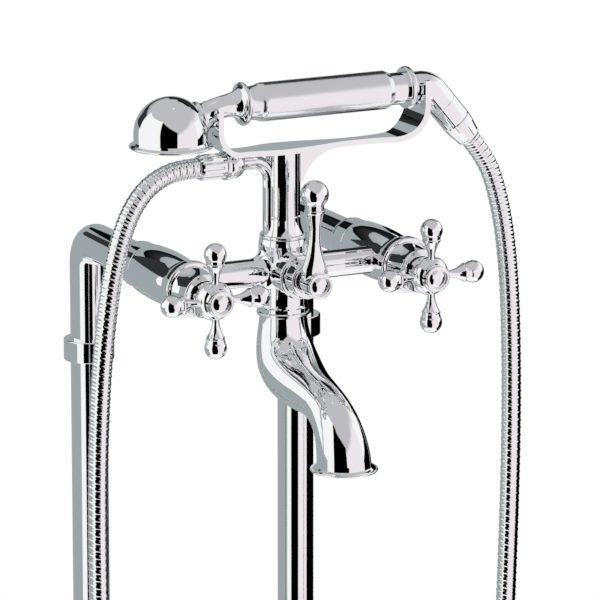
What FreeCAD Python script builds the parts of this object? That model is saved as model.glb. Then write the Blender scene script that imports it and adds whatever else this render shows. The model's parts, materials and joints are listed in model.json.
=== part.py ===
import FreeCAD, Part
import math
import os
from FreeCAD import Vector

# Floor standing bath filler: a bath and shower mixer on two standpipes.
# Millimetres. X to the right, -Y to the front, +Z up. The origin is on the floor,
# midway between the two standpipes. A "depth" is measured forward (-Y) from the
# mixer's vertical axis, and a "level" is measured up from the valves' axis.

# ---------------------------------------------------------------- driving sizes
# layout
VALVE_SPACING = 150.0        # between the two valves, and so between the standpipes
REACH = 134.0                # standpipe axis to the mixer's vertical axis
AXIS_HEIGHT = 860.0          # floor to the valves' axis
FIT = 0.05                   # radial clearance of pieces that slide or turn in each other
AIR = 0.3                    # least gap between pieces that move past each other

# standpipes and floor fittings
PIPE_R = 12.0
PIPE_WALL = 1.5
BEND_R = 16.0                # centre line of the bend at the top of each standpipe
BEND_DROP = 34.0             # joint of standpipe and bend, below the valves' axis
SLEEVE_LENGTH = 30.0         # inner sleeve that joins standpipe and bend
SLEEVE_BORE_R = 8.0
PLATE_R = 36.0
PLATE_THICK = 8.0
SOCKET_R = 16.0              # boss of the floor plate that holds the standpipe
SOCKET_HEIGHT = 30.0
FIXING_SPACING = 50.0        # the two floor screws of one plate, front to back
FIXING_HOLE_R = 2.75
FIXING_HEAD_R = 5.2
INLET_BORE_R = 9.3           # half inch pipe thread, minor radius
INLET_DEPTH = 14.0
ROSE_R = 40.0
ROSE_HEIGHT = 38.0
ROSE_WALL = 1.2
ROSE_NECK_R = 18.4           # inside of the rose's neck, round the socket
GRUB_R = 2.5
GRUB_LEVEL = 22.0            # grub screw above the floor
COLLAR_R = 16.5              # collar on each standpipe
COLLAR_HEIGHT = 14.0
COLLAR_DROP = 73.5           # middle of the collar, below the valves' axis

# union between the bend and the valve
NUT_R = 15.0
NUT_BACK = -56.0             # depths of the union nut's two ends
NUT_FRONT = -37.0
NUT_LIP = 3.0
TAIL_R = 13.4                # flange on the end of the bend, held by the nut
TAIL_THICK = 3.0
WASHER_THICK = 2.0
THREAD_R = 13.4              # threaded stub on the valve body
THREAD_LENGTH = 8.0

# mixer body
BARREL_BACK_R = 16.2         # valve barrel behind
BARREL_FRONT_R = 15.4        # valve barrel where the cover sits on it
BARREL_FRONT = 20.0          # depth of the barrel's front face
BAR_R = 8.8
WATERWAY_R = 5.0
VALVE_BORE_R = 8.0
VALVE_BORE_DEPTH = 34.0
VALVE_PASSAGE_R = 5.5
HUB_R = 15.5                 # middle of the body, about the vertical axis
HUB_TOP = 21.0
HUB_BOTTOM = -26.0
HUB_FILLET = 7.0
BOSS_R = 13.6                # boss for the diverter
BOSS_FRONT = 18.0
DIVERTER_BORE_R = 7.0
DIVERTER_BORE_DEPTH = 22.0
STEM_BORE_R = 7.5            # the sockets for the column and the spout
STEM_DEPTH = 9.0

# valve covers and headworks
COVER_RING_R = 18.0
COVER_RING_THICK = 6.5
COVER_R = 15.6
COVER_LIP_R = 14.2
COVER_LENGTH = 24.5
COVER_WALL = 1.6
HEADWORK_BACK = -11.0        # depth of the headwork's inner end
SHOULDER_R = 11.5
SHOULDER_THICK = 7.0
NECK_R = 7.2
NECK_FRONT = 41.0
SEAL_THICK = 2.0
DISC_THICK = 2.4
DISC_CHAMBER_R = 6.0
DISC_CHAMBER_DEPTH = 17.0
SPINDLE_R = 3.8
SPINDLE_FOOT_THICK = 3.0
PORT_R = 3.0

# cross handles
CROSS_BACK = 46.0            # depths along the handle's axis
CROSS_ARMS = 58.5
CROSS_FRONT = 65.5
CROSS_HUB_R = 12.4
CROSS_BACK_R = 9.4
CROSS_FRONT_R = 8.6
SPINDLE_END = 59.5
BALL_CIRCLE_R = 29.6
BALL_R = 7.1
ARM_R = 2.3                  # slimmest place of an arm, near the hub
ARM_WAIST_OUT = 13.4
ARM_RING_R = 5.9             # bead where an arm has swelled to its ball
ARM_RING_BACK = 6.9          # from the bead's back to the ball's middle
ARM_SHOULDER_R = 6.2         # behind the bead the arm runs into the ball
BUTTON_R = 8.2
BUTTON_THICK = 2.6           # height of the button's rim
BUTTON_WELL_R = 6.3
BUTTON_WELL = 1.0            # foot of the dome inside the rim
BUTTON_DOME = 2.3
SCREW_HEAD_R = 3.0
SCREW_HEAD_THICK = 2.4
SCREW_R = 1.6
SCREW_LENGTH = 8.0

# diverter
DIVERTER_RING_R = 14.3
DIVERTER_RING_THICK = 8.0
DIVERTER_COVER_R = 11.8
DIVERTER_BACK = 2.0          # depth of the diverter headwork's inner end
LEVER_ARM_DEPTH = 44.6       # the arm's axis, in front of the mixer's vertical axis
LEVER_HUB_BEHIND = 6.1       # from the arm's axis to the hub's back
LEVER_HUB_AHEAD = 6.4
LEVER_BACK = LEVER_ARM_DEPTH - LEVER_HUB_BEHIND
LEVER_FRONT = LEVER_ARM_DEPTH + LEVER_HUB_AHEAD
LEVER_GAP = 1.5              # between the lever's hub and the diverter's cover
DIVERTER_COVER_LENGTH = LEVER_BACK - LEVER_GAP - BOSS_FRONT
LEVER_HUB_R = 8.6
LEVER_BALL_LEVEL = 57.2
LEVER_BALL_R = 8.9
LEVER_RING_R = 6.4           # bead under the lever's ball
LEVER_RING_LEVEL = 46.4
LEVER_FORM = [(0.0, 8.2, 5.6), (8.0, 8.8, 5.6), (13.0, 7.4, 5.2), (18.0, 5.8, 4.7),
              (24.0, 4.6, 4.2), (31.0, 4.0, 4.0), (39.0, 4.5, 4.5), (45.0, 5.8, 5.8)]  # level, half width, half depth
LEVER_SPINDLE_PAST = 2.9     # the spindle ends this far in front of the arm's axis
LEVER_SPINDLE_END = LEVER_ARM_DEPTH + LEVER_SPINDLE_PAST

# riser column and shower outlet
COLUMN_R = 11.0
COLUMN_FOOT_R = 13.2
COLUMN_RING_R = 14.8
COLUMN_RING_THICK = 2.6
COLUMN_BORE_R = 4.0
OUTLET_PIPE_R = 4.4
OUTLET_PIPE_OUT = 9.4        # outlet pipe's axis, left of the column's axis
OUTLET_BEND_R = 12.0
OUTLET_LEVEL = 71.0
OUTLET_BOSS_R = 8.8
OUTLET_BOSS_OUT = 35.5       # boss centre, left of the column's axis
OUTLET_FACE_OUT = 41.5
OUTLET_FLANGE_R = 9.4
OUTLET_FLANGE_THICK = 2.0

# cradle
CRADLE_LEVEL = 76.0          # underside of the thin bar
CRADLE_THICK = 3.6
CRADLE_BAR_W = 9.5
CRADLE_MIDDLE_W = 21.0
LEFT_FORK_OUT = 48.0         # middle of the left fork's plate, left of the column
LEFT_FORK_W = 22.6
LEFT_FORK_TOP = 110.5
RIGHT_FORK_OUT = 95.5
RIGHT_FORK_W = 28.0
RIGHT_FORK_TOP = 115.0
WEB_LENGTH = 26.0
WEB_DROP = 19.0
FORK_AIR = 1.6                # gap round the handset in the forks
THROAT_DROP = 4.2            # the neck hangs this much lower where the left fork holds it
LEFT_TURN_R = 15.0           # inner radius of the turn from bar to fork
RIGHT_TURN_R = 19.0

# spout
SPOUT_BEAD_R = 16.8
SPOUT_BEAD_THICK = 3.0
SPOUT_TOP_R = 15.0
SPOUT_WALL = 2.2
MOUTH_REACH = 86.0           # mouth's axis in front of the mixer's vertical axis
MOUTH_LEVEL = -110.0
MOUTH_R = 17.2
MOUTH_FLANGE_R = 21.3
MOUTH_FLANGE_THICK = 2.6
SPOUT_DRAWN_REACH = 86.0     # the spout's rings are drawn for this reach and this fall
SPOUT_DRAWN_TOP = -29.0
SPOUT_DRAWN_FOOT = -107.4
SPOUT_LINE = [(1.2, -44.0, 84.0, 17.2), (10.0, -61.0, 48.0, 19.4), (28.0, -68.6, 22.0, 17.2),
              (47.0, -71.5, 14.0, 14.4), (66.0, -77.5, 32.0, 14.0), (79.0, -88.5, 60.0, 15.4),
              (85.0, -101.0, 84.0, MOUTH_R - 0.4)]  # depth, level, angle below the front, radius
AERATOR_R = 14.5
AERATOR_LENGTH = 8.0

# handset
HANDSET_LEVEL = 109.0        # the grip's axis above the valves' axis
GRIP_R = 12.3
GRIP_LEFT = -17.0
GRIP_RIGHT = 74.0
GRIP_WALL = 2.0
FRONT_COLLAR_R = 13.7
FRONT_COLLAR_OUT = 28.5
THROAT_R = 7.4
THROAT_OUT = 43.0
HEAD_OUT = 77.5              # shower head's axis, left of the column
HEAD_RIM_LEVEL = 86.0
HEAD_R = 23.3
HEAD_RIM_R = 26.3
HEAD_RIM_THICK = 2.6
HEAD_HEIGHT = 32.0
HEAD_WALL = 2.0
NECK_RING_R = 12.0
NECK_RING_OUT = 58.3
NECK_RING_DROP = 7.6
NECK_RING_TILT = 9.0
REAR_NECK_R = 10.2
REAR_RING_R = 13.6
REAR_RING_OUT = 87.0
REAR_RING_THICK = 4.0
ELBOW_R = 9.8
ELBOW_BEND_R = 12.0
ELBOW_OUT = 96.5             # where the elbow starts to turn down
ELBOW_TURN = 50.0            # degrees below the horizontal
ELBOW_STRAIGHT = 10.0
ADAPTER_LENGTH = 15.4
CONE_LENGTH = 16.5
CONE_END_R = 7.4

# hose
HOSE_R = 6.5
HOSE_BORE_R = 4.0
HOSE_EXIT_RIGHT = 18.0       # straight runs out of the two nuts
HOSE_EXIT_LEFT = 13.0
NUT_FLUTES = 12
FLUTED_R = 8.2
FLUTED_LENGTH = 18.0

# ---------------------------------------------------------------- helpers
X_AXIS = Vector(1, 0, 0)
Y_AXIS = Vector(0, 1, 0)
Z_AXIS = Vector(0, 0, 1)
FRONT = Vector(0, -1, 0)
LEFT_RIGHT = {"left": -1, "right": 1}
QUARTER = math.tan(math.pi / 8)      # bulge of a quarter circle

os.makedirs("parts", exist_ok=True)


def at(x, depth, level):
    """A place given from the mixer's centre: right, forward and up."""
    return Vector(x, REACH_Y - depth, AXIS_HEIGHT + level)


REACH_Y = -REACH


def keep(name, *solids):
    """Write the named piece."""
    shape = solids[0] if len(solids) == 1 else Part.makeCompound(list(solids))
    shape.exportStep("parts/" + name + ".step")


def along(direction, place):
    """A placement whose +Z points along the direction."""
    return FreeCAD.Placement(place, FreeCAD.Rotation(Z_AXIS, direction))


def cap(radius, height):
    """Bulge of an arc that meets the axis square, so that it turns into a true dome."""
    return math.tan(math.atan(height / radius) / 2)


def outline(steps):
    """A wire in the XZ plane. A step is (radius, height) for a straight edge, or
    (radius, height, bulge) for an arc: a positive bulge swells to the right of travel."""
    edges = []
    start = Vector(steps[0][0], 0, steps[0][1])
    here = start
    for step in list(steps[1:]) + [(start.x, start.z)]:
        there = Vector(step[0], 0, step[1])
        chord = there - here
        if chord.Length < 1e-6:
            continue
        if len(step) == 3:
            side = Vector(chord.z, 0, -chord.x) * (0.5 * step[2])
            middle = (here + there) * 0.5 + side
            edges.append(Part.Arc(here, middle, there).toShape())
        else:
            edges.append(Part.makeLine(here, there))
        here = there
    return Part.Wire(edges)


def turned(steps, direction, place):
    """A solid turned from its outline, standing on the place along the direction."""
    solid = Part.Face(outline(steps)).revolve(Vector(0, 0, 0), Z_AXIS, 360)
    solid.Placement = along(direction, place)
    return solid


def rod(radius, start, end):
    """A plain round bar between two places."""
    return Part.makeCylinder(radius, (end - start).Length, start, end - start)


def tube(outer, inner, start, end):
    """A round bar with a bore."""
    return rod(outer, start, end).cut(rod(inner, start, end))


def swept(radius, path):
    """A round section carried along a wire."""
    first = path.Edges[0]
    direction = first.tangentAt(first.FirstParameter)
    begin = first.valueAt(first.FirstParameter)
    ring = Part.Wire([Part.makeCircle(radius, begin, direction)])
    return Part.Wire(path.Edges).makePipeShell([ring], True, False)


def bent_path(start, corner, end, radius):
    """Two straight runs joined by an arc that touches both."""
    back = (start - corner).normalize()
    ahead = (end - corner).normalize()
    half = math.acos(back.dot(ahead)) / 2.0
    cut = radius / math.tan(half)
    enter = corner + back * cut
    leave = corner + ahead * cut
    inward = (back + ahead).normalize()
    middle = corner + inward * (radius / math.sin(half) - radius)
    edges = [Part.makeLine(start, enter), Part.Arc(enter, middle, leave).toShape(), Part.makeLine(leave, end)]
    return Part.Wire(edges)


def ring_at(centre, direction, radius):
    return Part.Wire([Part.makeCircle(radius, centre, direction)])


def ball(radius, place, direction):
    """A ball whose poles lie along the bar that carries it."""
    return Part.makeSphere(radius, place, direction)


def joined(solids):
    """One solid from several that run into each other."""
    whole = solids[0].fuse(solids[1:])
    return whole.removeSplitter()


# ---------------------------------------------------------------- standpipes
def floor_plate(x):
    """Plate screwed to the floor, with the pipe's socket and the supply thread."""
    step = PIPE_R + FIT
    steps = [(INLET_BORE_R, 0), (PLATE_R, 0), (PLATE_R, PLATE_THICK), (SOCKET_R, PLATE_THICK),
             (SOCKET_R, SOCKET_HEIGHT), (step, SOCKET_HEIGHT), (step, INLET_DEPTH), (INLET_BORE_R, INLET_DEPTH)]
    plate = turned(steps, Z_AXIS, Vector(x, 0, 0))
    for side in (-1, 1):
        foot = Vector(x, side * FIXING_SPACING / 2, 0)
        top = foot + Z_AXIS * PLATE_THICK
        plate = plate.cut(rod(FIXING_HOLE_R, foot, top))
        sink = FIXING_HEAD_R - FIXING_HOLE_R
        plate = plate.cut(Part.makeCone(FIXING_HOLE_R, FIXING_HEAD_R, sink, top - Z_AXIS * sink, Z_AXIS))
    for side in (-1, 1):
        inner = Vector(x + side * PIPE_R * 0.5, 0, GRUB_LEVEL)
        outer = Vector(x + side * (SOCKET_R + 1), 0, GRUB_LEVEL)
        plate = plate.cut(rod(GRUB_R, inner, outer))
    return plate


def grub_screws(x):
    """Two set screws that clamp the pipe in its socket."""
    screws = []
    for side in (-1, 1):
        tip = Vector(x + side * (PIPE_R + FIT), 0, GRUB_LEVEL)
        end = Vector(x + side * (SOCKET_R - 0.3), 0, GRUB_LEVEL)
        key = end - Vector(side * 2.0, 0, 0)
        screws.append(rod(GRUB_R, tip, end).cut(hexagon(1.25, key, end)))
    return screws


def hexagon(apothem, start, end):
    """A six sided bar between two places."""
    corner = apothem / math.cos(math.radians(30))
    points = [Vector(corner * math.cos(math.radians(60 * i)), corner * math.sin(math.radians(60 * i)), 0)
              for i in range(6)]
    face = Part.Face(Part.makePolygon(points + points[:1]))
    bar = face.extrude(Vector(0, 0, (end - start).Length))
    bar.Placement = along(end - start, start)
    return bar


def floor_rose(x):
    """Domed cover that hides the plate and its screws."""
    lip = PIPE_R + 0.4
    neck = ROSE_NECK_R
    wall = ROSE_WALL
    top = ROSE_HEIGHT
    steps = [(ROSE_R - wall, 0), (ROSE_R, 0), (ROSE_R, 3.0), (neck + wall, 21.0, -0.30), (neck + wall, top - 5.0),
             (neck + wall - 5.0, top, QUARTER), (lip, top), (lip, top - wall), (neck - 5.0, top - wall),
             (neck, top - 5.0 - wall, -QUARTER), (neck, 21.0 - wall), (ROSE_R - wall, 3.0 + wall, 0.30)]
    return turned(steps, Z_AXIS, Vector(x, 0, 0))


def standpipe(x):
    bottom = Vector(x, 0, INLET_DEPTH)
    top = Vector(x, 0, AXIS_HEIGHT - BEND_DROP)
    return tube(PIPE_R, PIPE_R - PIPE_WALL, bottom, top)


def standpipe_collar(x):
    """Ring that is clamped round the pipe."""
    inner = PIPE_R + FIT
    half = COLLAR_HEIGHT / 2
    steps = [(inner, -half), (COLLAR_R - 0.8, -half), (COLLAR_R, -half + 0.8, 0.41), (COLLAR_R, half - 0.8),
             (COLLAR_R - 0.8, half, 0.41), (inner, half)]
    return turned(steps, Z_AXIS, Vector(x, 0, AXIS_HEIGHT - COLLAR_DROP))


def inner_sleeve(x):
    """Sleeve inside the joint of standpipe and bend."""
    middle = Vector(x, 0, AXIS_HEIGHT - BEND_DROP)
    half = Z_AXIS * (SLEEVE_LENGTH / 2)
    return tube(PIPE_R - PIPE_WALL - FIT, SLEEVE_BORE_R, middle - half, middle + half)


def inlet_bend(x):
    """Bend and forward arm, with the flange that the union nut pulls on."""
    start = Vector(x, 0, AXIS_HEIGHT - BEND_DROP)
    corner = Vector(x, 0, AXIS_HEIGHT)
    face = at(x, NUT_FRONT - THREAD_LENGTH - WASHER_THICK, 0)
    path = bent_path(start, corner, face, BEND_R)
    flange = rod(TAIL_R, face + Y_AXIS * TAIL_THICK, face)
    return swept(PIPE_R, path).fuse(flange).cut(swept(PIPE_R - PIPE_WALL, path)).removeSplitter()


def union_washer(x):
    face = at(x, NUT_FRONT - THREAD_LENGTH, 0)
    return tube(THREAD_R - 0.6, PIPE_R - PIPE_WALL, face + Y_AXIS * WASHER_THICK, face)


def union_nut(x):
    """Round backed nut that draws the bend on to the valve."""
    length = NUT_FRONT - NUT_BACK
    inner = THREAD_R + FIT
    hole = PIPE_R + FIT
    lip = length - THREAD_LENGTH - WASHER_THICK - TAIL_THICK
    steps = [(hole, 0), (PIPE_R + 0.8, 0), (NUT_R, 5.0, 0.30), (NUT_R + 0.5, length - 1.0), (NUT_R, length),
             (inner, length), (inner, lip), (hole, lip)]
    return turned(steps, FRONT, at(x, NUT_BACK, 0))


# ---------------------------------------------------------------- mixer body
def valve_barrel(x):
    """Barrel of one valve, bulged behind and slimmer towards its cover."""
    stub_back = NUT_FRONT - THREAD_LENGTH
    back = THREAD_LENGTH
    front = BARREL_FRONT - stub_back
    steps = [(0, 0), (THREAD_R, 0), (THREAD_R, back), (BARREL_BACK_R - 0.6, back), (BARREL_BACK_R, back + 1.5, 0.3),
             (BARREL_FRONT_R, front - 8.0, 0.05), (BARREL_FRONT_R + 0.9, front - 1.2, -0.1),
             (BARREL_FRONT_R + 0.9, front), (0, front)]
    return turned(steps, FRONT, at(x, stub_back, 0))


def valve_bore(x):
    """Stepped bore of one valve: the headwork's thread in front, the passage behind."""
    seat = BARREL_FRONT - VALVE_BORE_DEPTH
    front = rod(VALVE_BORE_R, at(x, seat, 0), at(x, BARREL_FRONT + 1, 0))
    behind = rod(VALVE_PASSAGE_R, at(x, NUT_FRONT - THREAD_LENGTH - 1, 0), at(x, seat, 0))
    return front.fuse(behind)


def mixer_body():
    half = VALVE_SPACING / 2
    middle = turned([(0, HUB_BOTTOM), (HUB_R + 0.6, HUB_BOTTOM), (HUB_R + 0.6, HUB_BOTTOM + 2.5),
                     (HUB_R, HUB_BOTTOM + 6.0, -0.15), (HUB_R, HUB_TOP - 4.0), (HUB_R - 0.8, HUB_TOP, 0.05),
                     (0, HUB_TOP)], Z_AXIS, at(0, 0, 0))
    bar = rod(BAR_R, at(-half, 0, 0), at(half, 0, 0))
    body = middle.fuse(bar)
    corners = []
    for edge in body.Edges:
        box = edge.BoundBox
        near = max(abs(box.XMin), abs(box.XMax)) < HUB_R + 1 and box.ZLength > BAR_R and box.YLength > BAR_R
        if near and not isinstance(edge.Curve, (Part.Circle, Part.Line)):
            corners.append(edge)
    body = body.makeFillet(HUB_FILLET, corners)
    boss = rod(BOSS_R, at(0, 0, 0), at(0, BOSS_FRONT, 0))
    body = body.fuse([boss, valve_barrel(-half), valve_barrel(half)])
    body = body.cut([valve_bore(-half), valve_bore(half)])
    waterway = rod(WATERWAY_R, at(-half, 0, 0), at(half, 0, 0))
    stem = rod(STEM_BORE_R, at(0, 0, HUB_BOTTOM), at(0, 0, HUB_TOP))
    diverter = rod(DIVERTER_BORE_R, at(0, BOSS_FRONT - DIVERTER_BORE_DEPTH, 0), at(0, BOSS_FRONT, 0))
    return body.cut([waterway, stem, diverter]).removeSplitter()


# ---------------------------------------------------------------- valves
def valve_cover(x):
    """Bell shaped cover over the headwork, with the broad ring against the barrel."""
    ring = COVER_RING_THICK
    inner = COVER_R - COVER_WALL
    steps = [(SHOULDER_R + FIT, 0), (COVER_RING_R - 1.2, 0), (COVER_RING_R, 1.2, 0.41), (COVER_RING_R, ring - 1.6),
             (COVER_RING_R - 1.6, ring, 0.41), (COVER_R, ring), (COVER_LIP_R, COVER_LENGTH - 1.0, -0.06),
             (COVER_LIP_R - 1.0, COVER_LENGTH, 0.41), (NECK_R + 2.6, COVER_LENGTH),
             (NECK_R + 2.6, COVER_LENGTH - 2.0), (inner - 1.6, COVER_LENGTH - 2.0), (inner, ring + 2.0),
             (SHOULDER_R + FIT, ring)]
    return turned(steps, FRONT, at(x, BARREL_FRONT, 0))


def headwork(x, front, back, bore_r, shoulder_r, neck_r, neck_front, ports):
    """Brass headwork: a threaded body, a shoulder on the barrel and a neck for the spindle."""
    start = back
    seat = front - start
    steps = [(DISC_CHAMBER_R, 0), (bore_r - FIT, 0), (bore_r - FIT, seat), (shoulder_r, seat),
             (shoulder_r, seat + SHOULDER_THICK - 1.0), (shoulder_r - 1.0, seat + SHOULDER_THICK),
             (neck_r, seat + SHOULDER_THICK), (neck_r, neck_front - start - 0.6),
             (neck_r - 0.6, neck_front - start), (SPINDLE_R + FIT, neck_front - start),
             (SPINDLE_R + FIT, DISC_CHAMBER_DEPTH), (DISC_CHAMBER_R, DISC_CHAMBER_DEPTH)]
    piece = turned(steps, FRONT, at(x, back, 0))
    for place in ports:
        reach = X_AXIS * (bore_r + 1)
        piece = piece.cut(rod(PORT_R, place - reach, place + reach))
    return piece


def seat_seal(x):
    """Rubber seal between the headwork and its seat in the body."""
    seat = BARREL_FRONT - VALVE_BORE_DEPTH
    return tube(VALVE_BORE_R - FIT, VALVE_PASSAGE_R, at(x, seat, 0), at(x, HEADWORK_BACK, 0))


def fixed_disc(x):
    """Ceramic disc that stays still, with its two ports."""
    back = at(x, HEADWORK_BACK, 0)
    front = at(x, HEADWORK_BACK + DISC_THICK, 0)
    disc = rod(DISC_CHAMBER_R - FIT, back, front)
    for side in (-1, 1):
        shift = X_AXIS * (side * 2.9)
        disc = disc.cut(rod(1.7, back + shift, front + shift))
    return disc


def turning_disc(x):
    """Ceramic disc that the spindle turns over the fixed one."""
    start = HEADWORK_BACK + DISC_THICK + AIR
    back = at(x, start, 0)
    front = at(x, start + DISC_THICK, 0)
    disc = rod(DISC_CHAMBER_R - AIR, back, front)
    for side in (-1, 1):
        shift = Z_AXIS * (side * 2.9)
        disc = disc.cut(rod(1.7, back + shift, front + shift))
    return disc


def spindle(x, back, end):
    """Spindle with a foot inside and a stepped, screw tapped end for the handle."""
    foot = DISC_CHAMBER_R - AIR
    length = end - back
    steps = [(0, 0), (foot, 0), (foot, SPINDLE_FOOT_THICK), (SPINDLE_R, SPINDLE_FOOT_THICK), (SPINDLE_R, length),
             (SCREW_R, length), (SCREW_R, length - SCREW_LENGTH), (0, length - SCREW_LENGTH)]
    return turned(steps, FRONT, at(x, back, 0))


VALVE_SPINDLE_BACK = HEADWORK_BACK + 2 * DISC_THICK + AIR


# ---------------------------------------------------------------- cross handles
def cross_arm(x, direction):
    """One arm of a cross: it swells like a drop from its waist to a bead and a ball."""
    root = CROSS_HUB_R - 4.0
    bead = BALL_CIRCLE_R - ARM_RING_BACK
    shoulder = BALL_CIRCLE_R - math.sqrt(BALL_R ** 2 - ARM_SHOULDER_R ** 2)
    steps = [(0, root), (ARM_R + 1.2, root), (ARM_R, ARM_WAIST_OUT, -0.15), (ARM_RING_R - 0.5, bead - 0.4, -0.1),
             (ARM_RING_R, bead), (ARM_RING_R, bead + 0.9), (ARM_RING_R - 0.3, bead + 1.3),
             (ARM_SHOULDER_R, shoulder), (0, shoulder)]
    arm = turned(steps, direction, at(x, CROSS_ARMS, 0))
    return arm.fuse(ball(BALL_R, at(x, CROSS_ARMS, 0) + direction * BALL_CIRCLE_R, direction))


def cross_handle(x):
    """Four ball ended arms on a bell shaped hub, bored for spindle and screw."""
    back = CROSS_BACK
    steps = [(0, 0), (CROSS_BACK_R, 0), (CROSS_BACK_R, 1.2), (CROSS_BACK_R - 0.8, 2.0),
             (CROSS_HUB_R, CROSS_ARMS - back - 1.5, 0.12), (CROSS_FRONT_R + 0.3, CROSS_FRONT - back - 2.2, 0.22),
             (CROSS_FRONT_R + 0.3, CROSS_FRONT - back - 1.6), (CROSS_FRONT_R, CROSS_FRONT - back),
             (0, CROSS_FRONT - back)]
    hub = turned(steps, FRONT, at(x, back, 0))
    arms = [cross_arm(x, d) for d in (X_AXIS, Z_AXIS, X_AXIS * -1, Z_AXIS * -1)]
    handle = hub.fuse(arms)
    bore = rod(SPINDLE_R, at(x, back, 0), at(x, SPINDLE_END, 0))
    clear = rod(SCREW_R + 0.2, at(x, SPINDLE_END, 0), at(x, CROSS_FRONT, 0))
    sink = rod(SCREW_HEAD_R + 0.5, at(x, CROSS_FRONT - SCREW_HEAD_THICK - 0.6, 0), at(x, CROSS_FRONT, 0))
    return handle.cut([bore, clear, sink]).removeSplitter()


def handle_screw(x, front, sink, length):
    """Screw that holds a handle on its spindle."""
    head_back = front - sink
    head = rod(SCREW_HEAD_R, at(x, head_back, 0), at(x, head_back + SCREW_HEAD_THICK, 0))
    slot = Part.makeBox(2 * SCREW_HEAD_R + 1, 1.0, 0.9,
                        at(x - SCREW_HEAD_R - 0.5, head_back + SCREW_HEAD_THICK, -0.45))
    shank = rod(SCREW_R - FIT, at(x, head_back - length, 0), at(x, head_back, 0))
    return head.fuse(shank).cut(slot)


def handle_button(x, front):
    """Button that closes the front of a handle: a low dome inside a raised round rim."""
    steps = [(0, 0), (BUTTON_R - 0.4, 0), (BUTTON_R, 0.4), (BUTTON_R, BUTTON_THICK - 0.8),
             (BUTTON_R - 0.8, BUTTON_THICK, 0.41), (BUTTON_WELL_R + 0.5, BUTTON_THICK),
             (BUTTON_WELL_R, BUTTON_THICK - 0.5, 0.41), (BUTTON_WELL_R, BUTTON_WELL),
             (0, BUTTON_WELL + BUTTON_DOME, cap(BUTTON_WELL_R, BUTTON_DOME))]
    return turned(steps, FRONT, at(x, front, 0))


# ---------------------------------------------------------------- diverter
def diverter_cover():
    ring = DIVERTER_RING_THICK
    inner = SHOULDER_R - 1.5 + FIT
    steps = [(inner, 0), (DIVERTER_RING_R - 1.0, 0), (DIVERTER_RING_R, 1.0, 0.41), (DIVERTER_RING_R, ring - 1.4),
             (DIVERTER_RING_R - 1.4, ring, 0.41), (DIVERTER_COVER_R + 0.4, ring),
             (DIVERTER_COVER_R, DIVERTER_COVER_LENGTH - 1.2, -0.05),
             (DIVERTER_COVER_R - 1.2, DIVERTER_COVER_LENGTH, 0.41), (NECK_R + 1.0, DIVERTER_COVER_LENGTH),
             (NECK_R + 1.0, DIVERTER_COVER_LENGTH - 2.0), (inner, DIVERTER_COVER_LENGTH - 5.0)]
    return turned(steps, FRONT, at(0, BOSS_FRONT, 0))


def diverter_spool():
    """Half round spool on the diverter's spindle, which sends the water up or down."""
    back = at(0, DIVERTER_BACK, 0)
    front = at(0, DIVERTER_BACK + 5.0, 0)
    radius = DISC_CHAMBER_R - AIR
    lower_half = Part.makeBox(4 * radius, 10.0, 2 * radius, at(-2 * radius, DIVERTER_BACK + 7.0, -2 * radius))
    return rod(radius, back, front).cut(lower_half)


def oval_at(place, half_width, half_depth):
    """A level oval, wider from side to side than from front to back."""
    if half_width - half_depth < 0.01:
        return Part.Wire([Part.makeCircle(half_width, place, Z_AXIS)])
    return Part.Wire([Part.Ellipse(place + X_AXIS * half_width, place + Vector(0, half_depth, 0), place).toShape()])


def diverter_lever():
    """Upright lever: a turned hub, an arm that swells into it and towards its bead, and a ball."""
    hub = turned([(0, 0), (LEVER_HUB_R - 1.0, 0), (LEVER_HUB_R, 1.0, 0.41), (LEVER_HUB_R, LEVER_FRONT - LEVER_BACK),
                  (0, LEVER_FRONT - LEVER_BACK)], FRONT, at(0, LEVER_BACK, 0))
    ovals = [oval_at(at(0, LEVER_ARM_DEPTH, level), wide, deep) for level, wide, deep in LEVER_FORM]
    arm = Part.makeLoft(ovals, True, False)
    top, wide, deep = LEVER_FORM[-1]
    bead = LEVER_RING_LEVEL
    neck = turned([(0, top), (wide, top), (LEVER_RING_R, bead - 0.6), (LEVER_RING_R, bead + 0.6),
                   (LEVER_RING_R - 0.4, bead + 1.0), (LEVER_RING_R - 0.4, LEVER_BALL_LEVEL - 4.0),
                   (0, LEVER_BALL_LEVEL - 4.0)], Z_AXIS, at(0, LEVER_ARM_DEPTH, 0))
    head = ball(LEVER_BALL_R, at(0, LEVER_ARM_DEPTH, LEVER_BALL_LEVEL), Z_AXIS)
    lever = hub.fuse([arm, neck, head])
    seat = rod(LEVER_HUB_R, at(0, LEVER_FRONT, 0), at(0, LEVER_FRONT + 10.0, 0))
    bore = rod(SPINDLE_R, at(0, LEVER_BACK - 2.0, 0), at(0, LEVER_SPINDLE_END, 0))
    sink = rod(SCREW_HEAD_R + 0.5, at(0, LEVER_SPINDLE_END, 0), at(0, LEVER_FRONT, 0))
    return lever.cut([bore, sink, seat]).removeSplitter()


# ---------------------------------------------------------------- column, outlet and cradle
def outlet_path():
    """Middle line of the outlet pipe: up the column's left side, then out to the left."""
    foot = at(-OUTLET_PIPE_OUT, 0, HUB_TOP + COLUMN_RING_THICK)
    corner = at(-OUTLET_PIPE_OUT, 0, OUTLET_LEVEL)
    end = at(-OUTLET_FACE_OUT, 0, OUTLET_LEVEL)
    return bent_path(foot, corner, end, OUTLET_BEND_R)


def outlet_boss():
    """Ball and flange that end the outlet pipe and carry the hose."""
    face = at(-OUTLET_FACE_OUT, 0, OUTLET_LEVEL)
    boss = ball(OUTLET_BOSS_R, at(-OUTLET_BOSS_OUT, 0, OUTLET_LEVEL), X_AXIS)
    boss = boss.cut(rod(OUTLET_BOSS_R, face, face - X_AXIS * OUTLET_BOSS_R))
    return boss.fuse(rod(OUTLET_FLANGE_R, face + X_AXIS * OUTLET_FLANGE_THICK, face))


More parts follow.
